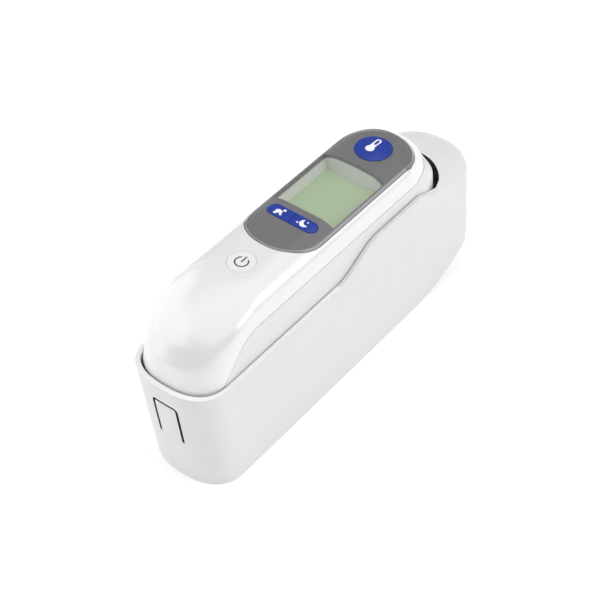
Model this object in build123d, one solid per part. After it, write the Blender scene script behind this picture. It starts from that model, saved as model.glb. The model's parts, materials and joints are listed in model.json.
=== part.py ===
from build123d import *
import os
from math import cos, radians, sin, tan

os.makedirs("parts", exist_ok=True)

# Digital ear thermometer lying in its open storage case. Millimetres, +Z up.
# +X runs along the handle towards the probe end. The origin is on the ground,
# under the middle of the case.

# ---- storage case ----
case_near_x = -81.1          # tail end of the case wall at the floor
case_far_x = 92.9            # head end of the case wall, carried on down to the floor
near_lean = 0.1405           # the tail wall leans outward this much per mm of height
far_lean = 0.13              # the head wall leans inward this much per mm of height
case_half_width = 18.85      # at the floor
side_flare = 0.0105          # growth of the half width per mm of height
near_end_length = 15.05
near_end_power = 2.5
far_end_length = 16.5
far_end_power = 2.18
wall = 1.5
near_wall = 2.0
floor_thickness = 2.0
roof_thickness = 1.4
case_block_top = 70.0

rim_low = 52.5               # rim height beside the tail of the handle
rim_high = 61.5              # rim height beside the head
rim_step_start = -9.5
rim_step_end = 14.5
roof_crown = 61.6
roof_rise_length = 40.0
roof_fall_start = 42.5
roof_fall_slope = 0.60       # the roof's edge starts to fall this steeply towards the head end
roof_fall_ease = 0.0098      # and levels out again by this much
roof_long_power = 2.3        # the roof is full in plan and drops only near its edge
roof_wide_power = 2.6
roof_plan_power = 2.4
roof_edge_power = 3.5
roof_overrun = 1.25
roof_centre_x = 60.0
roof_reach = 25.0            # from the roof's centre to the head end of the case
roof_half_width = 19.4

rocker_start_x = 41.2        # the flat underside ends here and curls up
rocker_radius = 63.0
rocker_sweep = 65.0          # degrees the curl is carried on for, past the head wall

mouth_tip_x = 64.1           # head end of the case mouth, cut in the roof
mouth_length = 15.0
mouth_power = 3.2
mouth_half_width = 18.0

tab_half_width = 4.75        # the springy tongue in the tail wall
tab_root_z = 23.1
tab_top_z = 42.7
tab_slot = 1.1
tab_root_gap = 0.06

rib_thickness = 1.6          # ribs on the side walls that carry the handle
rib_inner_y = 13.6
rib_outer_y = 18.2
rib_top_z = 42.6
rib_places = (-71.0, -5.0, 26.0)

# ---- thermometer housing ----
body_half_width = 17.6
tail_tip_x = -85.9           # at the height of the case rim
rim_level = 52.5
head_tip_x = 59.9            # where the two housing halves meet
head_length = 22.8
head_power = 2.05
slope_reach = 10.6           # the head's upper end slopes back by this much
crown_reach = 1.8            # and by this much more where it turns into the crown
skirt_tip_x = 63.0           # the rear housing flares under the joint
skirt_z = 61.5
skirt_length = 18.5
body_bottom_z = 43.0
parting_z = 67.8
shoulder_z = 69.5            # the sides are upright up to here
crown_top = 79.5
crown_flat_z = 79.1          # the crown is flat above this height
crown_power = 3.1
tail_fall_x = -42.0          # the crown starts to fall towards the tail here
tail_power = 2.4
tail_plan_power = 2.2
tail_plan_length = 15.0      # length of the rounded tail end in plan, at the shoulder
crown_plan_length = 2.0      # and at the very top of the crown
tuck_level = 50.0            # below this the housing draws in towards its bottom edge
parting_corner_x = -61.2     # the joint turns down towards the tail here
parting_low_x = -74.5
parting_radius = 15.0
parting_gap = 0.2
shell = 2.0
crown_thickness = 3.4

# ---- display and keys ----
panel_half_width = 15.7
panel_tail_x = -31.0
panel_head_x = 50.6
panel_end_length = 16.0
panel_tail_power = 2.35
panel_head_power = 2.7
panel_thickness = 1.8
panel_gap = 0.14
window_tail_x = -7.05
window_head_x = 24.4
window_bulge = 1.2
window_half_width = 14.1
window_thickness = 1.5
frame_low_x = -8.2
frame_high_x = 26.6
frame_half_width = 14.3
lcd_low_x = -2.5             # the part of the display that shows
lcd_high_x = 23.1
lcd_half_width = 11.6
lcd_top_z = 72.7
lcd_thickness = 2.0
lcd_border = 1.4

measure_x = 36.85
measure_radius = 7.42
pill_x = -13.2
pill_width = 6.1
pill_length = 22.3
power_x = -42.4
power_radius = 5.5
key_gap = 0.12
key_thickness = 0.95
key_rise = 0.25
stem_radius = 2.2
stem_clearance = 0.25
stem_bottom_z = 70.6
flange_radius = 3.2
flange_z = 75.2              # top of the flange that keeps a key in

# ---- board and battery ----
board_z = 66.4
board_thickness = 1.0
board_low_x = -50.0
board_high_x = 46.0
board_half_width = 13.2
board_corner = 4.0
switch_height = 1.1
mat_z = 69.0
mat_thickness = 0.6
cell_radius = 7.25
cell_length = 49.0
cell_low_x = -61.5
cell_z = 53.2
cell_spacing = 14.7
nub_radius = 2.75
nub_length = 1.2
door_low_x = -66.0
door_high_x = -8.0
door_half_width = 12.4
door_gap = 0.15
screw_places = ((-71.0, 0.0), (30.3, 11.6), (30.3, -11.6))
screw_seat_z = 56.0
boss_radius = 2.9

# ---- probe ----
probe_x = 44.0               # where the probe's axis crosses the head, at probe_z
probe_z = 58.0
probe_tilt = 20.0            # the probe leans this far from straight down, towards the head end
neck_end = 25.0              # distances along the probe's axis
shoulder_end = 28.0
nozzle_tip = 48.0
nozzle_base_radius = 7.8
nozzle_tip_radius = 4.3
filter_wall = 0.5


# ---- helpers ----
def end_points(centre_x, length, half_width, power, z, count=13):
    """Points of a rounded end at height z, from +Y round the tip to -Y."""
    points = []
    for i in range(count):
        angle = radians(90 - 180 * i / (count - 1))
        along = abs(cos(angle)) ** (2 / power)
        across = abs(sin(angle)) ** (2 / power)
        if angle < 0:
            across = -across
        points.append(Vector(centre_x + length * along, half_width * across, z))
    return points


def plan_wire(z, low, high, half_width):
    """Closed outline at height z: low and high are (tip x, end length, power) of its two ends."""
    low_x, low_length, low_power = low
    high_x, high_length, high_power = high
    high_end = end_points(high_x - high_length, high_length, half_width, high_power, z)
    low_end = end_points(low_x + low_length, -low_length, half_width, low_power, z)
    forward = Vector(1, 0, 0)
    back = Vector(-1, 0, 0)
    edges = [
        Edge.make_spline(high_end, tangents=[forward, back]),
        Edge.make_line(high_end[-1], low_end[-1]),
        Edge.make_spline(list(reversed(low_end)), tangents=[back, forward]),
        Edge.make_line(low_end[0], high_end[0]),
    ]
    return Wire(edges)


def plan_prism(low, high, half_width, low_z, high_z):
    face = Face(plan_wire(low_z, low, high, half_width))
    return extrude(face, amount=high_z - low_z, dir=(0, 0, 1))


def box(x, y, z):
    """Block from three (low, high) pairs."""
    size = (x[1] - x[0], y[1] - y[0], z[1] - z[0])
    middle = ((x[0] + x[1]) / 2, (y[0] + y[1]) / 2, (z[0] + z[1]) / 2)
    return Location(middle) * Box(*size)


def rod(x, y, low_z, high_z, radius):
    return Location((x, y, (low_z + high_z) / 2)) * Cylinder(radius, high_z - low_z)


def side_solid(edges, half_depth=40.0):
    """Solid across the whole width whose side view is bounded by these edges."""
    face = Face(Wire(edges))
    return extrude(face, amount=half_depth, both=True)


def lines_through(points):
    corners = [Vector(x, 0, z) for x, z in points]
    return [Edge.make_line(a, b) for a, b in zip(corners, corners[1:])]


def under_surface(height, low_x, high_x, half_width, nx, ny, drop=90.0):
    """Solid under the smooth surface z = height(x, y)."""
    rows = []
    for i in range(nx):
        x = low_x + (high_x - low_x) * i / (nx - 1)
        row = []
        for j in range(ny):
            y = half_width * (2 * j / (ny - 1) - 1)
            row.append(Vector(x, y, height(x, y)))
        rows.append(row)
    face = Face.make_surface_from_array_of_points(rows, tol=0.02)
    return extrude(face, amount=drop, dir=(0, 0, -1))


def down(shape, amount):
    return Location((0, 0, -amount)) * shape


def save(name, shape):
    solids = shape.solids()
    if len(solids) == 1:
        shape = solids[0]
    else:
        shape = Compound(children=list(solids))
    shape.label = name
    export_step(shape, "parts/" + name + ".step")
    print(name, len(solids), round(shape.volume, 1))


# ---- case ----
def case_wire(z, side_inset, near_inset):
    """Outline of the case wall at height z, moved inward."""
    half_width = case_half_width + side_flare * z - side_inset
    low_x = case_near_x - near_lean * z + near_inset
    high_x = case_far_x - far_lean * z - side_inset
    low = (low_x, near_end_length - side_inset, near_end_power)
    high = (high_x, far_end_length - side_inset, far_end_power)
    return plan_wire(z, low, high, half_width)


def case_block(side_inset, near_inset):
    ends = [case_wire(z, side_inset, near_inset) for z in (0, case_block_top)]
    return Solid.make_loft(ends, ruled=True)


def smooth_step(t):
    t = min(1.0, max(0.0, t))
    return t * t * (3 - 2 * t)


def case_top(x, y):
    """Height of the case's upper edge and of its roof."""
    if x <= rim_step_end:
        rise = smooth_step((x - rim_step_start) / (rim_step_end - rim_step_start))
        return rim_low + (rim_high - rim_low) * rise
    crown = rim_high + (roof_crown - rim_high) * smooth_step((x - rim_step_end) / roof_rise_length)
    past = max(0.0, x - roof_fall_start)
    edge = rim_high - roof_fall_slope * past + roof_fall_ease * past * past
    along = max(0.0, (x - roof_centre_x) / roof_reach)
    across = abs(y) / roof_half_width
    reach = (along ** roof_long_power + across ** roof_wide_power) ** (1 / roof_plan_power)
    return crown - (crown - edge) * min(reach, roof_overrun) ** roof_edge_power


def above_rocker(inset):
    """Everything above the underside, which is flat and then curls up at the head end."""
    radius = rocker_radius - inset
    centre = Vector(rocker_start_x, 0, rocker_radius)
    sweep = radians(rocker_sweep)
    low = Vector(rocker_start_x, 0, inset)
    middle = centre + Vector(radius * sin(sweep / 2), 0, -radius * cos(sweep / 2))
    high = centre + Vector(radius * sin(sweep), 0, -radius * cos(sweep))
    edges = [Edge.make_three_point_arc(low, middle, high)]
    corners = [(high.X, high.Z), (high.X + 10, 120), (-120, 120), (-120, inset), (low.X, low.Z)]
    edges += lines_through(corners)
    return side_solid(edges)


def tab_prism(grow, low_z):
    """The tongue's outline run through the tail wall, grown by a margin."""
    top = tab_top_z + grow
    half = tab_half_width + grow
    block = box((-100, -70), (-half, half), (low_z, top))
    corners = block.edges().filter_by(Axis.X).group_by(Axis.Z)[-1]
    return fillet(corners, 1.0 + grow)


def case_body():
    block = case_block(0.0, 0.0) & above_rocker(0.0)
    top = under_surface(case_top, -100, 100, 24, 81, 21)
    outer = block & top
    mouth_tail = (-100, 10, 2.0)
    mouth_head = (mouth_tip_x, mouth_length, mouth_power)
    mouth = plan_prism(mouth_tail, mouth_head, mouth_half_width, 30, 90)
    hollow = case_block(wall, near_wall) & above_rocker(floor_thickness)
    roofed = hollow & down(top, roof_thickness)
    open_part = hollow & mouth
    shape = outer - roofed - open_part
    for x in rib_places:
        for side in (1, -1):
            y = sorted((side * rib_inner_y, side * rib_outer_y))
            rib = box((x - rib_thickness / 2, x + rib_thickness / 2), y, (1.0, rib_top_z))
            shape = shape + rib
    return shape


# ---- thermometer housing ----
def tail_x(z):
    """Tail end of the housing, on its centre line, at height z."""
    if z <= rim_level:
        return tail_tip_x + near_lean * (rim_level - z)
    rise = (z - rim_level) / (crown_top - rim_level)
    back = (1 - rise ** tail_power) ** (1 / tail_power)
    return tail_fall_x + (tail_tip_x - tail_fall_x) * back


def crown_half_width(z):
    if z <= shoulder_z:
        return body_half_width
    rise = (z - shoulder_z) / (crown_top - shoulder_z)
    return body_half_width * (1 - rise ** crown_power) ** (1 / crown_power)


def head_fall(z):
    """How far the head end has drawn back at height z, above the joint."""
    rise = (z - parting_z) / (crown_flat_z - parting_z)
    return slope_reach * rise ** 1.4 + crown_reach * rise ** 12


def body_wire(z, inset, level):
    """Outline of the housing that belongs to height z, moved inward and set at height level."""
    half_width = crown_half_width(z)
    tail = tail_x(z)
    share = half_width / body_half_width
    if z >= parting_z:
        head = (head_tip_x - head_fall(z), head_length * share ** 1.6, head_power)
    elif z >= skirt_z:
        flare = (parting_z - z) / (parting_z - skirt_z)
        length = head_length + (skirt_length - head_length) * flare
        head = (head_tip_x + (skirt_tip_x - head_tip_x) * flare, length, head_power + 0.4 * flare)
    else:
        head = (skirt_tip_x + near_lean * (skirt_z - z), skirt_length, head_power + 0.4)
    tuck = max(0.0, tuck_level - z)
    half_width -= 0.06 * tuck * tuck
    tail += 0.08 * tuck * tuck
    head = (head[0] - 0.12 * tuck * tuck - inset, head[1] - inset, head[2])
    tail_length = tail_plan_length * share + crown_plan_length * (1 - share) - inset * share
    low = (tail + inset, tail_length, tail_plan_power + 0.3 * (z <= rim_level))
    return plan_wire(level, low, head, half_width - inset)


def body_block(inset, bottom_z, top_z):
    """The whole housing as a solid, moved inward by inset between the two given heights."""
    lower_levels = (body_bottom_z, 45.5, tuck_level, rim_level, skirt_z, parting_z)
    upper_levels = (parting_z, shoulder_z, 72.5, 75.0, 77.0, 78.3, crown_flat_z)
    lower = []
    for z in lower_levels:
        level = parting_z - (parting_z - z) * (parting_z - bottom_z) / (parting_z - body_bottom_z)
        lower.append(body_wire(z, inset, level))
    upper = []
    for z in upper_levels:
        level = parting_z + (z - parting_z) * (top_z - parting_z) / (crown_flat_z - parting_z)
        upper.append(body_wire(z, inset, level))
    return Solid.make_loft(lower, ruled=True) + Solid.make_loft(upper, ruled=False)


def above_parting(lowered=0.0):
    """Everything above the joint between the two housing halves, which dives at the tail."""
    corner = Vector(parting_corner_x, 0, parting_z)
    slope = (Vector(parting_low_x, 0, rim_level) - corner).normalized()
    half_turn = radians(slope.get_angle(Vector(-1, 0, 0)) / 2)
    reach = parting_radius * tan(half_turn)
    start = corner + Vector(reach, 0, 0)
    end = corner + slope * reach
    centre = start - Vector(0, 0, parting_radius)
    middle = centre + (corner - centre).normalized() * parting_radius
    foot = corner + slope * 40.0
    edges = [
        Edge.make_line(Vector(120, 0, parting_z), start),
        Edge.make_three_point_arc(start, middle, end),
        Edge.make_line(end, foot),
    ]
    edges += lines_through([(foot.X, foot.Z), (-120, foot.Z), (-120, 120), (120, 120), (120, parting_z)])
    return down(side_solid(edges), lowered)


# ---- probe geometry: s is the distance along the probe's axis, out of the head ----
lean = radians(probe_tilt)
probe_plane = Plane(
    origin=(probe_x, 0, probe_z), x_dir=(cos(lean), 0, sin(lean)), z_dir=(sin(lean), 0, -cos(lean))
)


def probe_cone(s_low, s_high, r_low, r_high, x=0.0, y=0.0):
    height = s_high - s_low
    middle = Location((x, y, (s_low + s_high) / 2))
    body = Cylinder(r_low, height) if r_low == r_high else Cone(r_low, r_high, height)
    return probe_plane.location * middle * body


def probe_rod(s_low, s_high, radius, x=0.0, y=0.0):
    return probe_cone(s_low, s_high, radius, radius, x, y)


def probe_tube(s_low, s_high, outer, inner):
    return probe_rod(s_low, s_high, outer) - probe_rod(s_low - 1, s_high + 1, inner)


# ---- outlines on the panel ----
def panel_prism(inset, low_z=60.0, high_z=95.0):
    length = panel_end_length - inset
    low = (panel_tail_x + inset, length, panel_tail_power)
    high = (panel_head_x - inset, length, panel_head_power)
    return plan_prism(low, high, panel_half_width - inset, low_z, high_z)


def window_wire(z, inset, bulge=window_bulge):
    low = window_tail_x + inset
    high = window_head_x - inset
    half = window_half_width - inset
    a = Vector(low, -half, z)
    b = Vector(high, -half, z)
    c = Vector(high, half, z)
    d = Vector(low, half, z)
    tip = Vector(high + bulge, 0, z)
    return Wire([
        Edge.make_line(a, b),
        Edge.make_three_point_arc(b, tip, c),
        Edge.make_line(c, d),
        Edge.make_line(d, a),
    ])


def window_prism(inset):
    return extrude(Face(window_wire(60.0, inset)), amount=35, dir=(0, 0, 1))


def pill_prism(inset, side=0):
    """Outline of the two-key pill, or of one half of it."""
    radius = pill_width / 2 - inset
    reach = (pill_length - pill_width) / 2
    shape = box((pill_x - radius, pill_x + radius), (-reach, reach), (60, 95))
    for y in (-reach, reach):
        shape = shape + rod(pill_x, y, 60, 95, radius)
    if side:
        y = sorted((side * inset, side * 30))
        shape = shape & box((pill_x - 10, pill_x + 10), y, (60, 95))
    return shape


def key(prism, body, stem_x, stem_y, rise):
    """A key cap that follows the crown, on a stem with a retaining flange."""
    cap = (prism & down(body, -rise)) - down(body, key_thickness)
    cap = cap + rod(stem_x, stem_y, stem_bottom_z, crown_flat_z - 0.6, stem_radius)
    return cap + rod(stem_x, stem_y, flange_z - 1.0, flange_z, flange_radius)


measure_stem = (measure_x, 0.0)
pill_stem_y = 5.5
stem_places = (measure_stem, (pill_x, pill_stem_y), (pill_x, -pill_stem_y), (power_x, 0.0))


# ---- thermometer pieces ----
def front_shell(body, inner):
    shape = (body - inner) & above_parting()
    tail_boss = rod(screw_places[0][0], 0, 54.2, 80, boss_radius)
    for x, y in screw_places[1:]:
        shape = shape + rod(x, y, 67.6, 77, boss_radius - 0.3)
    shape = shape + (tail_boss & down(body, 1.0))
    shape = shape - (panel_prism(0.0) - down(body, panel_thickness))
    opening = frame_half_width + 0.15
    shape = shape - box((frame_low_x - 0.15, frame_high_x + 0.15), (-opening, opening), (60, 90))
    shape = shape - (rod(power_x, 0, 60, 90, power_radius) - down(body, panel_thickness))
    for x, y in stem_places:
        shape = shape - rod(x, y, 60, 90, stem_radius + stem_clearance)
    shape = shape - rod(screw_places[0][0], 0, 50, 63, 1.05)
    for x, y in screw_places[1:]:
        shape = shape - rod(x, y, 60, 74, 1.05)
    return shape


def rear_shell(body, inner):
    neck = probe_cone(6.0, neck_end, 14.6, 12.9)
    neck_hollow = probe_cone(8.0, neck_end + 2, 12.6, 11.62)
    shape = (body + neck) - inner - neck_hollow
    for low_x in (door_low_x - 1.6, door_high_x):
        rib = box((low_x, low_x + 1.5), (-20, 20), (44, 61)) & body
        shape = shape + rib
    for x, y in screw_places:
        top = 54.0 if x < 0 else board_z - 0.2
        shape = shape + rod(x, y, 43.5, top, boss_radius)
    for x, y in screw_places:
        seat = 50.0 if x < 0 else screw_seat_z
        shape = shape - rod(x, y, 40, seat, 2.3) - rod(x, y, 40, 70, 1.25)
    opening = box((door_low_x, door_high_x), (-door_half_width, door_half_width), (40, 45.9))
    shape = shape - opening
    return shape - above_parting(parting_gap)


def battery_door():
    half = door_half_width - door_gap
    low_z = body_bottom_z
    shape = box((door_low_x + door_gap, door_high_x - door_gap), (-half, half), (low_z, low_z + shell))
    for i in range(5):
        x = door_low_x + 8 + 2.2 * i
        shape = shape - box((x, x + 1.0), (-7, 7), (low_z - 1, low_z + 0.5))
    return shape


def display_panel(body):
    shape = panel_prism(panel_gap) & (body - down(body, panel_thickness))
    shape = shape - window_prism(0.0) - pill_prism(0.0)
    return shape - rod(measure_x, 0, 60, 90, measure_radius)


def display_window(body):
    return (window_prism(0.03) & body) - down(body, window_thickness)


def lcd_frame(body):
    half = frame_half_width
    shape = box((frame_low_x, frame_high_x), (-half, half), (board_z + board_thickness + 0.05, 90))
    shape = shape & down(body, panel_thickness)
    pocket = box((lcd_low_x - 1.5, lcd_high_x + 1.5), (-13.1, 13.1), (60, lcd_top_z))
    low = [(lcd_low_x, -lcd_half_width), (lcd_high_x, -lcd_half_width)]
    low += [(lcd_high_x, lcd_half_width), (lcd_low_x, lcd_half_width)]
    corners = [Vector(x, y, lcd_top_z - 0.01) for x, y in low]
    rim = Wire([Edge.make_line(a, b) for a, b in zip(corners, corners[1:] + corners[:1])])
    funnel = Solid.make_loft([rim, window_wire(crown_flat_z - panel_thickness + 0.5, 0.3)], ruled=True)
    return shape - pocket - funnel


def lcd_glass():
    x = (lcd_low_x - lcd_border, lcd_high_x + lcd_border)
    return box(x, (-13.0, 13.0), (lcd_top_z - lcd_thickness, lcd_top_z))


def main_board():
    half = board_half_width
    shape = box((board_low_x, board_high_x), (-half, half), (board_z, board_z + board_thickness))
    shape = fillet(shape.edges().filter_by(Axis.Z), board_corner)
    for x, y in screw_places[1:]:
        shape = shape - rod(x, y, 60, 70, 2.1)
    return shape


def tact_switches():
    top = board_z + board_thickness
    group = []
    for x, y in stem_places:
        base = box((x - 2.2, x + 2.2), (y - 2.2, y + 2.2), (top, top + 0.7))
        group.append(base + rod(x, y, top, top + switch_height, 1.4))
    return Compound(children=[g.solid() for g in group])


def keypad_mats():
    top = board_z + board_thickness
    group = []
    for x, half in (((28.6, 45.0), 7.6), ((-48.5, -9.6), 11.2)):
        mat = box(x, (-half, half), (mat_z, mat_z + mat_thickness))
        for px in (x[0] + 0.8, x[1] - 0.8):
            for py in (-half + 0.8, half - 0.8):
                mat = mat + box((px - 0.8, px + 0.8), (py - 0.8, py + 0.8), (top, mat_z))
        group.append(mat.solid())
    return Compound(children=group)


def battery_cells():
    group = []
    for side in (1, -1):
        y = side * cell_spacing / 2
        middle = cell_low_x + cell_length / 2
        can = Location((middle, y, cell_z), (0, 90, 0)) * Cylinder(cell_radius, cell_length)
        end = middle + side * (cell_length + nub_length) / 2
        nub = Location((end, y, cell_z), (0, 90, 0)) * Cylinder(nub_radius, nub_length)
        group.append((can + nub).solid())
    return Compound(children=group)


def across_x(x, y, z, radius_low, radius_high):
    length = x[1] - x[0]
    middle = Location(((x[0] + x[1]) / 2, y, z), (0, 90, 0))
    if radius_low == radius_high:
        return middle * Cylinder(radius_low, length)
    return middle * Cone(radius_low, radius_high, length)


def battery_contacts():
    cell_high_x = cell_low_x + cell_length
    tail_plate = door_low_x
    head_plate = door_high_x
    y = cell_spacing / 2
    group = []
    bridge = box((tail_plate, tail_plate + 0.4), (-12, 12), (48.5, 58))
    bridge = bridge + across_x((tail_plate, cell_low_x - nub_length - 0.05), -y, cell_z, 2.4, 2.4)
    group.append(bridge.solid())
    for side in (1, -1):
        plate = box((head_plate - 0.4, head_plate), sorted((side * 2, side * 12.5)), (48.5, 58))
        if side > 0:
            plate = plate + across_x((cell_high_x + nub_length + 0.05, head_plate), y, cell_z, 2.4, 2.4)
        group.append(plate.solid())
    return Compound(children=group)


def battery_springs():
    cell_high_x = cell_low_x + cell_length
    y = cell_spacing / 2
    group = []
    for x, side, radii in (
        ((door_low_x + 0.45, cell_low_x - 0.05), 1, (4.6, 3.0)),
        ((cell_high_x + 0.05, door_high_x - 0.45), -1, (3.0, 4.6)),
    ):
        outer = across_x(x, side * y, cell_z, *radii)
        inner = across_x(x, side * y, cell_z, radii[0] - 0.8, radii[1] - 0.8)
        group.append((outer - inner).solid())
    return Compound(children=group)


def housing_screws():
    group = []
    for x, y in screw_places:
        seat = 50.0 if x < 0 else screw_seat_z
        tip = 62.0 if x < 0 else 72.5
        screw = rod(x, y, seat - 1.5, seat, 2.1) + rod(x, y, seat - 0.5, tip, 1.0)
        cross = box((x - 1.2, x + 1.2), (y - 0.25, y + 0.25), (seat - 2, seat - 0.8))
        cross = cross + box((x - 0.25, x + 0.25), (y - 1.2, y + 1.2), (seat - 2, seat - 0.8))
        group.append((screw - cross).solid())
    return Compound(children=group)


def controller_chips():
    places = (((4, 14), (-5, 5), 1.4), ((17, 22), (-10, -4), 1.2), ((-9, -3), (3, 8), 1.2))
    chips = [box(x, y, (board_z - h, board_z)).solid() for x, y, h in places]
    return Compound(children=chips)


def backlight_leds():
    top = board_z + board_thickness + 0.9
    lamps = [box((22.8, 24.3), (y - 1, y + 1), (top, top + 1.5)).solid() for y in (-8, 0, 8)]
    return Compound(children=lamps)


# ---- probe pieces ----
def probe_nozzle():
    shape = probe_rod(19, 21, 11.5) + probe_rod(21, shoulder_end, 9.6)
    cone = probe_cone(shoulder_end, nozzle_tip, nozzle_base_radius, nozzle_tip_radius)
    tip_edge = cone.edges().sort_by_distance(probe_plane.from_local_coords((0, 0, nozzle_tip)))[0]
    shape = shape + fillet(tip_edge, 1.0)
    shape = shape - probe_rod(18, 32, 5.2) - probe_rod(31, 50, 3.0)
    return shape - probe_rod(18, 30, 0.6, 0, 8.6)


def lens_filter():
    start = shoulder_end + 0.5
    end = nozzle_tip + 0.35
    outer = probe_cone(start, end + filter_wall, 8.1 + filter_wall, 4.5 + filter_wall)
    shape = outer + probe_rod(start, start + 0.7, 10.9)
    return shape - probe_cone(start - 0.001, end, 8.1, 4.5)


def filter_ejector():
    ring = probe_tube(24.4, shoulder_end + 0.3, 11.3, 9.9)
    tab = probe_plane.location * Location((-12.6, 0, 26.85)) * Box(4.0, 8.0, 2.9)
    return ring + (tab - probe_rod(20, 30, 10.5))


def ejector_springs():
    group = []
    for y in (10.6, -10.6):
        coil = probe_rod(21.3, 24.3, 0.65, 0, y) - probe_rod(20, 25, 0.3, 0, y)
        group.append(coil.solid())
    return Compound(children=group)


def sensor_holder():
    return probe_tube(24.0, 31.8, 5.1, 2.85)


def ir_sensor():
    shape = probe_rod(26.0, 30.6, 2.7)
    for x, y in ((1.2, 0), (-1.2, 0), (0, 1.2), (0, -1.2)):
        shape = shape + probe_rod(21.8, 26.5, 0.25, x, y)
    return shape


def sensor_flex():
    start = probe_plane.from_local_coords(Vector(0, 0, 21.6))
    bend = probe_plane.from_local_coords(Vector(0, 0, 9.0))
    route = [(start.X, start.Z), (bend.X, bend.Z), (43.0, 60.0), (43.0, board_z - 0.05)]
    back = [(x + 0.35, z) for x, z in reversed(route)]
    return side_solid(lines_through(route + back + route[:1]), 2.5)


def main():
    body = body_block(0, body_bottom_z, crown_flat_z)
    inner = body_block(shell, body_bottom_z + shell, crown_flat_z - crown_thickness)

    case = case_body()
    tongue = case & tab_prism(0.0, tab_root_z)
    save("case_shell", case - tab_prism(tab_slot, tab_root_z - tab_root_gap))
    save("case_latch_tab", tongue)

    save("front_shell", front_shell(body, inner))
    save("rear_shell", rear_shell(body, inner))
    save("battery_door", battery_door())
    save("display_panel", display_panel(body))
    save("display_window", display_window(body))
    save("lcd_frame", lcd_frame(body))
    save("lcd_glass", lcd_glass())
    save("backlight_guide", box((-1.9, 22.5), (-12.6, 12.6), (68.2, 70.65)))
    save("backlight_leds", backlight_leds())
    save("zebra_strip", box((-3.8, -2.2), (-12, 12), (board_z + board_thickness, 70.65)))

    round_cap = rod(measure_x, 0, 60, 95, measure_radius - key_gap)
    power_cap = rod(power_x, 0, 60, 95, power_radius - key_gap)
    save("measure_button", key(round_cap, body, *measure_stem, key_rise))
    save("age_button", key(pill_prism(key_gap, 1), body, pill_x, pill_stem_y, key_rise))
    save("night_button", key(pill_prism(key_gap, -1), body, pill_x, -pill_stem_y, key_rise))
    save("power_button", key(power_cap, body, power_x, 0.0, 0.0))
    save("keypad_mats", keypad_mats())
    save("tact_switches", tact_switches())
    save("main_board", main_board())
    save("controller_chips", controller_chips())
    save("buzzer", rod(-28, 0, board_z - 3.6, board_z, 6.5))
    save("battery_cells", battery_cells())
    save("battery_contacts", battery_contacts())
    save("battery_springs", battery_springs())
    save("housing_screws", housing_screws())

    save("probe_nozzle", probe_nozzle())
    save("sensor_holder", sensor_holder())
    save("ir_sensor", ir_sensor())
    save("wave_guide", probe_tube(31.9, 47.0, 2.9, 2.3))
    save("probe_window", probe_rod(47.1, 47.5, 2.95))
    save("sensor_flex", sensor_flex())
    save("filter_ejector", filter_ejector())
    save("ejector_springs", ejector_springs())
    save("lens_filter", lens_filter())
    save("filter_pin", probe_rod(20.5, shoulder_end + 0.2, 0.5, 0, 8.6))
    save("filter_switch", probe_rod(17.6, 18.8, 1.3, 0, 8.6))


main()
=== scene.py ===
import json
import math

import bpy
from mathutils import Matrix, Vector
from mathutils.bvhtree import BVHTree


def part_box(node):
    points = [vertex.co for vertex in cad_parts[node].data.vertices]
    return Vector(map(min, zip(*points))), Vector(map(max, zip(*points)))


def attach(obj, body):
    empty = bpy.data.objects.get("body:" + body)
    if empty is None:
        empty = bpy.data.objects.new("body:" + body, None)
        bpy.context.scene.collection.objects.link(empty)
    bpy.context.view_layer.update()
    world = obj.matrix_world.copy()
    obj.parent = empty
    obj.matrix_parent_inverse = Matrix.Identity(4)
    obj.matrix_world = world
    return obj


# The looks of a digital ear thermometer in its storage case: materials, border, symbols, camera, light.
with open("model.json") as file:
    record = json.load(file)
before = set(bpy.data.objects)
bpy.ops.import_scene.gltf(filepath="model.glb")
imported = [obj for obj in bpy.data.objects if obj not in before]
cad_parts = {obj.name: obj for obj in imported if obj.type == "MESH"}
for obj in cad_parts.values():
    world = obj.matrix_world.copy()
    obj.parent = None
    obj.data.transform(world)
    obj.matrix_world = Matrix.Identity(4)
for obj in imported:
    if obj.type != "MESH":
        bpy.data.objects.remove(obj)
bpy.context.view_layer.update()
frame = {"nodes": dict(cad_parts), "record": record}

MM = 0.001


def box_mm(node_name):
    """Lowest and highest corner of a CAD node, in millimetres."""
    low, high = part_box(node_name)
    return low / MM, high / MM


# ---- materials ----
# The clouds are slow changes across a moulding, with this many noise cells to a metre.
CLOUD_SCALE = 60.0
CLOUD_DETAIL = 3.0
ROUGHNESS_SPREAD = 0.12
# The grain is the mould's fine texture. Its depth is in millimetres.
GRAIN_DETAIL = 2.0
GRAIN_DEPTH = 0.02


def add(nodes, kind, **inputs):
    """Adds a shader node and sets some of its inputs."""
    node = nodes.new(kind)
    for name, value in inputs.items():
        node.inputs[name.replace("_", " ")].default_value = value
    return node


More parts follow.
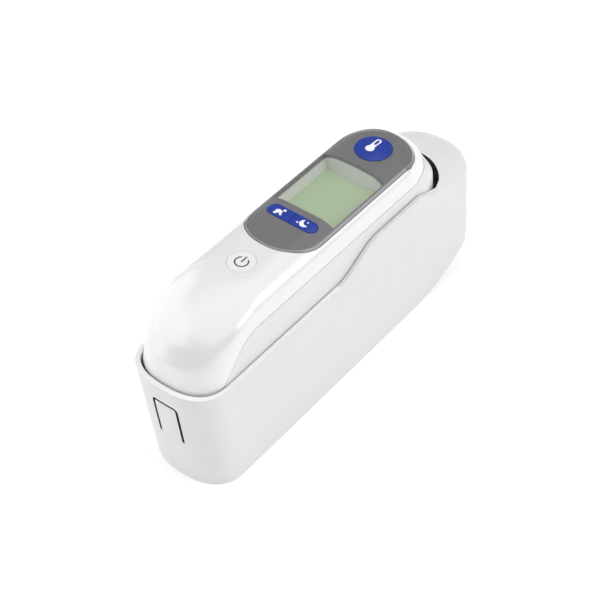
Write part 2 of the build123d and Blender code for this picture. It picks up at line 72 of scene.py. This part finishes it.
def plastic(name, colour, roughness, grain=0.0, grain_size=0.4, mottle=0.03, coat=0.0, gloss=0.05,
            **more):
    """Moulded material: clouds in its colour and roughness, and a fine grain in its bump.

    grain_size is in millimetres, gloss is the coat's roughness, and more sets other shader inputs.
    """
    material = bpy.data.materials.new(name)
    material.use_nodes = True
    nodes = material.node_tree.nodes
    links = material.node_tree.links
    shader = nodes["Principled BSDF"]
    shader.inputs["Base Color"].default_value = (*colour, 1)
    shader.inputs["Coat Weight"].default_value = coat
    shader.inputs["Coat Roughness"].default_value = gloss
    for key, value in more.items():
        shader.inputs[key.replace("_", " ")].default_value = value
    place = nodes.new("ShaderNodeTexCoord")
    cloud = add(nodes, "ShaderNodeTexNoise", Scale=CLOUD_SCALE, Detail=CLOUD_DETAIL)
    links.new(place.outputs["Object"], cloud.inputs["Vector"])
    if mottle > 0:
        tint = nodes.new("ShaderNodeMix")
        tint.data_type = "RGBA"
        tint.inputs["A"].default_value = (*[c * (1 - mottle) for c in colour], 1)
        tint.inputs["B"].default_value = (*[min(1, c * (1 + mottle)) for c in colour], 1)
        links.new(cloud.outputs["Fac"], tint.inputs["Factor"])
        links.new(tint.outputs["Result"], shader.inputs["Base Color"])
    spread = nodes.new("ShaderNodeMapRange")
    spread.inputs["To Min"].default_value = roughness * (1 - ROUGHNESS_SPREAD)
    spread.inputs["To Max"].default_value = roughness * (1 + ROUGHNESS_SPREAD)
    links.new(cloud.outputs["Fac"], spread.inputs["Value"])
    links.new(spread.outputs["Result"], shader.inputs["Roughness"])
    if grain > 0:
        fine = add(nodes, "ShaderNodeTexNoise", Scale=1.0 / (grain_size * MM), Detail=GRAIN_DETAIL)
        links.new(place.outputs["Object"], fine.inputs["Vector"])
        bump = add(nodes, "ShaderNodeBump", Strength=grain, Distance=GRAIN_DEPTH * MM)
        links.new(fine.outputs["Fac"], bump.inputs["Height"])
        links.new(bump.outputs["Normal"], shader.inputs["Normal"])
    return material


def linear(hex_colour):
    """Linear red, green and blue of an sRGB colour in hex."""
    values = [int(hex_colour[i:i + 2], 16) / 255 for i in (0, 2, 4)]
    return [v / 12.92 if v <= 0.04045 else ((v + 0.055) / 1.055) ** 2.4 for v in values]


# Each material's colour, its roughness, and what else plastic() takes.
FINISHES = {
    # the case
    "case_plastic": ("e1e1e2", 0.42, dict(grain=0.25, grain_size=0.5)),
    # painted highlight: lighter than case_plastic, for the light on the rim's rounded lip
    "case_rim_painted_highlight": ("f7f7f8", 0.3, dict(mottle=0.01, coat=1.0, gloss=0.2)),
    # the walls of narrow gaps, painted dark as painted shade
    "slot_shadow": ("3a3a3c", 0.5, dict(grain=0.25)),
    "joint_shadow": ("464648", 0.5, dict(grain=0.25)),
    # the thermometer's housing
    "housing_gloss": ("ebebec", 0.3, dict(mottle=0.01, coat=1.0, gloss=0.2, Coat_IOR=1.9)),
    "housing_satin": ("e4e4e5", 0.38, dict(grain=0.2, grain_size=0.4)),
    # the panel and the display
    "panel_gray": ("707073", 0.34, dict(grain=0.2, grain_size=0.3, coat=0.25)),
    # painted highlight: lighter than panel_gray, for the light on the border's slope
    "panel_edge_painted_highlight": ("88888c", 0.25, dict(grain=0.1, coat=0.6)),
    "window_clear": ("ffffff", 0.05, dict(mottle=0.0, coat=1.0, Alpha=0.04)),
    "frame_pale": ("c4c8c0", 0.5, dict(grain=0.3)),
    "lcd": ("a5b995", 0.32, dict(grain=0.15, grain_size=0.15)),
    "light_guide": ("eef2ee", 0.5, dict()),
    "led": ("f8f5da", 0.2, dict()),
    # the keys and what is printed on them
    "key_blue": ("1a389a", 0.24, dict(grain=0.1)),
    "key_white": ("eeeeef", 0.3, dict(mottle=0.01, coat=1.0, gloss=0.17)),
    "print_white": ("f5f6f8", 0.45, dict(grain=0.2)),
    "print_gray": ("45494e", 0.45, dict(grain=0.2)),
    # the electronics and the battery bay
    "silicone": ("c4c4c6", 0.6, dict(grain=0.3)),
    "zebra_rubber": ("2a2a2c", 0.7, dict(grain=0.4)),
    "board": ("1d6b38", 0.35, dict(grain=0.4, grain_size=0.8)),
    "chip": ("1c1c1e", 0.55, dict(grain=0.3)),
    "buzzer_brass": ("c9a55c", 0.3, dict(grain=0.2, Metallic=1.0)),
    "cell": ("34383e", 0.35, dict(grain=0.1, Metallic=0.6)),
    "contact_metal": ("c6c6c9", 0.28, dict(grain=0.2, Metallic=1.0)),
    "screw_steel": ("a2a2a6", 0.35, dict(grain=0.3, Metallic=1.0)),
    # the probe
    "probe_plastic": ("d4d6da", 0.25, dict(mottle=0.02, coat=0.3)),
    "sensor_metal": ("cdb67a", 0.3, dict(grain=0.3, Metallic=1.0)),
    "sensor_can": ("c4bda6", 0.3, dict(grain=0.2, Metallic=1.0)),
    "gold_tube": ("e6be62", 0.18, dict(Metallic=1.0)),
    "ir_window": ("4c4c52", 0.1, dict(coat=0.4)),
    "flex": ("cc7a24", 0.35, dict(grain=0.2)),
    "ejector_gray": ("8e9298", 0.36, dict(grain=0.3)),
    "filter_film": ("eef2f6", 0.12, dict(mottle=0.01, Transmission_Weight=0.85, IOR=1.3)),
}

materials = {}
for finish_name, (hex_colour, roughness, details) in FINISHES.items():
    materials[finish_name] = plastic(finish_name, linear(hex_colour), roughness, **details)


# ---- the CAD nodes, with lengths in millimetres ----
# Radius of the rounding on a node's sharp edges, in millimetres.
EDGE_ROUNDING = {
    "case_shell": 0.45,
    "measure_button": 0.25,
    "age_button": 0.25,
    "night_button": 0.25,
}
ROUNDED_ANGLE = math.radians(40)
ROUNDING_SEGMENTS = 3
CREASE_ANGLE = math.radians(28)
WELD_DISTANCE = 0.002


def dress_cad_nodes():
    """Gives every CAD node its slot's material, joined faces and smooth shading with crisp edges."""
    slots = {row["node"]: row["material_slot"] for row in frame["record"]["subparts"]}
    for name, node in frame["nodes"].items():
        node.data.materials.clear()
        node.data.materials.append(materials[slots[name]])
        weld = node.modifiers.new("weld", "WELD")
        weld.merge_threshold = WELD_DISTANCE * MM
        if name in EDGE_ROUNDING:
            bevel = node.modifiers.new("round_edges", "BEVEL")
            bevel.limit_method = "ANGLE"
            bevel.angle_limit = ROUNDED_ANGLE
            bevel.width = EDGE_ROUNDING[name] * MM
            bevel.segments = ROUNDING_SEGMENTS
            bevel.use_clamp_overlap = True
        split = node.modifiers.new("split", "EDGE_SPLIT")
        split.split_angle = CREASE_ANGLE
        for face in node.data.polygons:
            face.use_smooth = True


def paint_faces(node_name, material, chosen):
    """Gives another material to the faces of a CAD node that chosen(centre in mm, normal) picks."""
    mesh = frame["nodes"][node_name].data
    paint = materials[material]
    if paint.name not in mesh.materials:
        mesh.materials.append(paint)
    index = mesh.materials.find(paint.name)
    for face in mesh.polygons:
        if chosen(face.center / MM, face.normal):
            face.material_index = index


def search_tree(node_name):
    """Tree of a CAD node's faces, for casting rays at it."""
    mesh = frame["nodes"][node_name].data
    return BVHTree.FromPolygons([v.co for v in mesh.vertices], [f.vertices for f in mesh.polygons])


# Little light gets into the joint between the housing halves, or round the panel and the blue keys, so
# their walls
# # are painted dark as painted shade. Each row is a node, the node across its gap, and the painted shade
# of the first one's wall.
SHADED_GAPS = (
    ("front_shell", "rear_shell", "joint_shadow"),
    ("rear_shell", "front_shell", "joint_shadow"),
    ("front_shell", "display_panel", "slot_shadow"),
    ("display_panel", "measure_button", "slot_shadow"),
    ("display_panel", "age_button", "slot_shadow"),
    ("display_panel", "night_button", "slot_shadow"),
)
WIDEST_GAP = 0.4


def paint_gap(node_name, other_name, material):
    """Paints the faces that look straight at another node across a narrow gap with another material, as
    painted shade.
    """
    tree = search_tree(other_name)

    def across(centre, normal):
        return tree.ray_cast(centre * MM, normal, WIDEST_GAP * MM)[0] is not None

    paint_faces(node_name, material, across)


# The slot's walls lie within this much of the tongue, and start this far above its root.
SLOT_REACH = 1.45
SLOT_ROOT = 0.9
# The X of a normal is under this on a wall of the slot, and over it on the case's tail wall.
SLOT_WALL = 0.6


def paint_slot():
    """The walls of the slot round the case's tongue lie in deep shadow, so they are painted dark as
    painted shade.
    """
    low, high = box_mm("case_latch_tab")

    def slot_wall(centre, normal):
        beside = centre.x < high.x + SLOT_REACH and abs(centre.y) < high.y + SLOT_REACH
        beyond = low.z + SLOT_ROOT < centre.z < high.z + SLOT_REACH
        return beside and beyond and abs(normal.x) < SLOT_WALL

    for node_name in ("case_shell", "case_latch_tab"):
        paint_faces(node_name, "slot_shadow", slot_wall)


# The low part of the case's rim runs from the tail to this x, between these heights, and faces up.
RIM_END_X = -9.5
RIM_LOWEST = 51.0
RIM_HIGHEST = 53.5
FACES_UP = 0.8


def paint_rim_highlight():
    """The rim beside the tail is rounded and gets a glossy coat; its lighter colour is a painted highlight
    on the rounded lip.
    """

    def rim(centre, normal):
        return centre.x < RIM_END_X and RIM_LOWEST < centre.z < RIM_HIGHEST and normal.z > FACES_UP

    paint_faces("case_shell", "case_rim_painted_highlight", rim)


# The edge of the case's mouth lies under the thermometer's head, within these limits. It is
# upright and looks towards the tail.
MOUTH_START_X = 48.0
MOUTH_END_X = 66.0
MOUTH_HALF_WIDTH = 18.1
MOUTH_LOWEST = 52.0
UPRIGHT = 0.3
FACES_TAIL = -0.05


def paint_mouth_edge():
    """The edge of the mouth lies in the shadow of the thermometer's head, so it is painted dark as painted
    shade.
    """

    def mouth_edge(centre, normal):
        inside = MOUTH_START_X < centre.x < MOUTH_END_X and abs(centre.y) < MOUTH_HALF_WIDTH
        turned = abs(normal.z) < UPRIGHT and normal.x < FACES_TAIL
        return inside and centre.z > MOUTH_LOWEST and turned

    paint_faces("case_shell", "joint_shadow", mouth_edge)


dress_cad_nodes()
for node_name, other_name, shade in SHADED_GAPS:
    paint_gap(node_name, other_name, shade)
paint_slot()
paint_rim_highlight()
paint_mouth_edge()


def mesh_object(name, points, faces, material):
    """Adds an object from its points, in metres, and its faces."""
    mesh = bpy.data.meshes.new(name)
    mesh.from_pydata(points, [], faces)
    mesh.update()
    mesh.materials.append(material)
    thing = bpy.data.objects.new(name, mesh)
    bpy.context.scene.collection.objects.link(thing)
    return thing


# ---- the panel's raised border, in millimetres ----
panel_low, panel_high = box_mm("display_panel")
# Each end of the panel is half a superellipse: the x of its tip, its length inward, and its power.
PANEL_END_LENGTH = 15.86
PANEL_ENDS = ((panel_low.x, PANEL_END_LENGTH, 2.35), (panel_high.x, -PANEL_END_LENGTH, 2.7))
BORDER_OUTER = 0.11
BORDER_INNER = BORDER_OUTER + 0.8
BORDER_LIP = 0.02
BORDER_RISE = 0.2
BORDER_FOOT = 0.05
# The border's rows of points: how far in from the panel's edge, and how far above the panel.
BORDER_ROWS = ((BORDER_OUTER, BORDER_LIP), (BORDER_INNER, BORDER_RISE),
               (BORDER_INNER + BORDER_FOOT, -BORDER_FOOT))
ABOVE_PANEL = 100.0


def panel_outline(inset, count=40):
    """Outline of the panel in plan, moved inward, as (x, y)."""
    points = []
    half_width = panel_high.y - inset
    for side, (tip, length, power) in zip((1, -1), PANEL_ENDS):
        length -= math.copysign(inset, length)
        tip += math.copysign(inset, length)
        for i in range(count + 1):
            angle = math.radians(-90 + 180 * i / count) * side
            along = abs(math.cos(angle)) ** (2 / power)
            across = math.copysign(abs(math.sin(angle)) ** (2 / power), math.sin(angle))
            points.append((tip + length * (1 - along), half_width * across))
    return points


def panel_border():
    """A low sloping band round the panel, highest on its inner side, with a foot let into the panel."""
    tree = search_tree("display_panel")
    points = []
    for inset, rise in BORDER_ROWS:
        outline = panel_outline(inset)
        for x, y in outline:
            place = tree.ray_cast(Vector((x, y, ABOVE_PANEL)) * MM, Vector((0, 0, -1)))[0]
            points.append((x * MM, y * MM, place.z + rise * MM))
    count = len(outline)
    faces = []
    for start in (0, count):
        for i in range(count):
            j = (i + 1) % count
            faces.append((start + i, start + j, start + count + j, start + count + i))
    # The border's lighter colour is a painted highlight on its slope.
    border = mesh_object("panel_border", points, faces, materials["panel_edge_painted_highlight"])
    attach(border, "thermometer")


# ---- printed symbols, in millimetres, in the plane (right, up) as a person reads them ----
# A print reaches this far above and below its middle, which lies just under the key's top.
PRINT_DEPTH = 0.015
PRINT_SINK = 0.01
# The pill's symbols stand a little further out than the middles of its half keys.
PILL_OUTWARD = 0.125


def symbol(name, loops, key, outward, material, body):
    """Flat print on a key, from closed outlines; an outline inside another is a hole in it."""
    low, high = box_mm(key)
    centre_x = (low.x + high.x) / 2
    centre_y = (low.y + high.y) / 2 + outward
    curve = bpy.data.curves.new(name, "CURVE")
    curve.dimensions = "2D"
    curve.fill_mode = "BOTH"
    curve.extrude = PRINT_DEPTH * MM
    for loop in loops:
        spline = curve.splines.new("POLY")
        spline.points.add(len(loop) - 1)
        for point, (right, up) in zip(spline.points, loop):
            point.co = ((centre_x + up) * MM, (centre_y - right) * MM, 0, 1)
        spline.use_cyclic_u = True
    outline = bpy.data.objects.new(name, curve)
    bpy.context.scene.collection.objects.link(outline)
    mesh = bpy.data.meshes.new_from_object(outline)
    bpy.data.objects.remove(outline)
    mesh.materials.clear()
    mesh.materials.append(materials[material])
    thing = bpy.data.objects.new(name, mesh)
    bpy.context.scene.collection.objects.link(thing)
    thing.location.z = (high.z - PRINT_SINK) * MM
    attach(thing, body)


def arc(centre, radius, start, end, count=24):
    """Points of an arc between two angles in degrees."""
    points = []
    for i in range(count + 1):
        angle = math.radians(start + (end - start) * i / count)
        points.append((centre[0] + radius * math.cos(angle), centre[1] + radius * math.sin(angle)))
    return points


def capsule(a, b, radius):
    """Stroke from a to b with round ends."""
    heading = math.degrees(math.atan2(b[1] - a[1], b[0] - a[0]))
    return arc(b, radius, heading - 90, heading + 90, 10) + arc(a, radius, heading + 90, heading + 270, 10)


def power_symbol():
    """A ring that is open at its top, with a bar from its middle through the opening."""
    ring = arc((0, 0), 2.8, 124, 416, 40) + arc((0, 0), 2.2, 416, 124, 40)
    bar = capsule((0, 0), (0, 2.9), 0.31)
    symbol("power_symbol", [ring, bar], "power_button", 0, "print_gray", "power_key")


def thermometer_symbol():
    """A bulb with a hollow stem."""
    bulb = arc((-1.2, -0.7), 1.8, 130, 410, 40)
    stem = arc((-0.95, 4.6), 1.2, 0, 180, 16)
    hollow = capsule((-1.0, 2.6), (-0.95, 4.6), 0.55)
    symbol("thermometer_symbol", [bulb + stem, hollow], "measure_button", 0, "print_white", "measure_key")


def child_symbol():
    """A crawling child: a round head, and one outline for the body, an arm and a leg."""
    head = arc((1.2, 1.4), 0.62, 0, 360, 24)[:-1]
    trunk = [(-2.05, -1.45), (-1.55, -0.95), (-1.95, -0.3), (-1.6, 0.4), (-0.9, 0.95), (0.0, 0.85),
             (0.75, 0.55), (1.05, 0.1), (1.0, -0.5), (1.55, -1.15), (1.35, -1.75), (0.85, -1.75),
             (0.3, -0.95), (-0.25, -0.75), (-0.45, -1.35), (-1.05, -2.0), (-1.75, -2.0)]
    symbol("child_symbol", [head, trunk], "age_button", PILL_OUTWARD, "print_white", "age_key")


def star(x, y, size):
    """A five-pointed star."""
    points = []
    for i in range(10):
        reach = size if i % 2 == 0 else size * 0.5
        angle = math.radians(90 + 36 * i)
        points.append((x + reach * math.cos(angle), y + reach * math.sin(angle)))
    return points


def moon_symbol():
    """A crescent between two circles that cross at its horns, with two stars."""
    crescent = arc((-0.3, 0.15), 1.95, 112, 338, 36) + arc((0.75, 1.3), 1.85, 286, 164, 24)
    stars = [star(-2.9, -0.75, 0.62), star(0.5, 1.2, 0.5)]
    symbol("moon_symbol", [crescent] + stars, "night_button", -PILL_OUTWARD, "print_white", "night_key")


panel_border()
power_symbol()
thermometer_symbol()
child_symbol()
moon_symbol()


# ---- camera, floor and light, in metres and degrees ----
TARGET = Vector((-0.007367, 0, 0.0318))
CAMERA_AZIMUTH = -52.217
CAMERA_ELEVATION = 44.501
CAMERA_DISTANCE = 0.6537
FOCAL_LENGTH = 101.9
SENSOR_WIDTH = 36.0
SHIFT_X = -0.0037
SHIFT_Y = 0.0036

FLOOR_REACH = 3.0
FLOOR_SHADE = 0.95
FLOOR_ROUGHNESS = 0.8
FLOOR_GLOW = 0.17

WORLD_STRENGTH = 0.36
# Each softbox's azimuth, elevation, distance, width, height, and power in watts.
SOFTBOXES = {
    "far_softbox": (-158, 27, 1.3, 2.1, 1.4, 10.5),
    "near_softbox": (24, 34, 1.2, 1.0, 0.8, 5.0),
    "overhead_softbox": (-10, 82, 1.6, 2.6, 2.6, 16.0),
}


def look_at_target(thing, azimuth, elevation, distance):
    """Stands a camera or a light off the target, looking at it. At azimuth 0 it looks along +Y."""
    azimuth = math.radians(azimuth)
    elevation = math.radians(elevation)
    back = Vector((
        math.sin(azimuth) * math.cos(elevation),
        -math.cos(azimuth) * math.cos(elevation),
        math.sin(elevation),
    ))
    thing.location = TARGET + back * distance
    thing.rotation_euler = back.to_track_quat("Z", "Y").to_euler()


def make_camera():
    camera = bpy.data.objects.new("camera", bpy.data.cameras.new("camera"))
    bpy.context.scene.collection.objects.link(camera)
    camera.data.lens = FOCAL_LENGTH
    camera.data.sensor_width = SENSOR_WIDTH
    camera.data.shift_x = SHIFT_X
    camera.data.shift_y = SHIFT_Y
    look_at_target(camera, CAMERA_AZIMUTH, CAMERA_ELEVATION, CAMERA_DISTANCE)
    bpy.context.scene.camera = camera


def make_floor():
    """A pale floor that glows a little, so that it stays white round the object."""
    corners = [(x * FLOOR_REACH, y * FLOOR_REACH, 0) for x, y in ((-1, -1), (1, -1), (1, 1), (-1, 1))]
    finish = plastic("floor", [FLOOR_SHADE] * 3, FLOOR_ROUGHNESS, mottle=0.0, Emission_Strength=FLOOR_GLOW)
    finish.node_tree.nodes["Principled BSDF"].inputs["Emission Color"].default_value = (1, 1, 1, 1)
    floor = mesh_object("floor", corners, [(0, 1, 2, 3)], finish)


def make_softbox(name, azimuth, elevation, distance, width, height, power):
    lamp = bpy.data.lights.new(name, "AREA")
    lamp.shape = "RECTANGLE"
    lamp.size = width
    lamp.size_y = height
    lamp.energy = power
    light = bpy.data.objects.new(name, lamp)
    bpy.context.scene.collection.objects.link(light)
    look_at_target(light, azimuth, elevation, distance)


def make_light():
    world = bpy.data.worlds.new("studio")
    bpy.context.scene.world = world
    world.use_nodes = True
    background = world.node_tree.nodes["Background"]
    background.inputs["Color"].default_value = (1, 1, 1, 1)
    background.inputs["Strength"].default_value = WORLD_STRENGTH
    for name, settings in SOFTBOXES.items():
        make_softbox(name, *settings)
    bpy.context.scene.view_settings.view_transform = "Standard"


make_camera()
make_floor()
make_light()
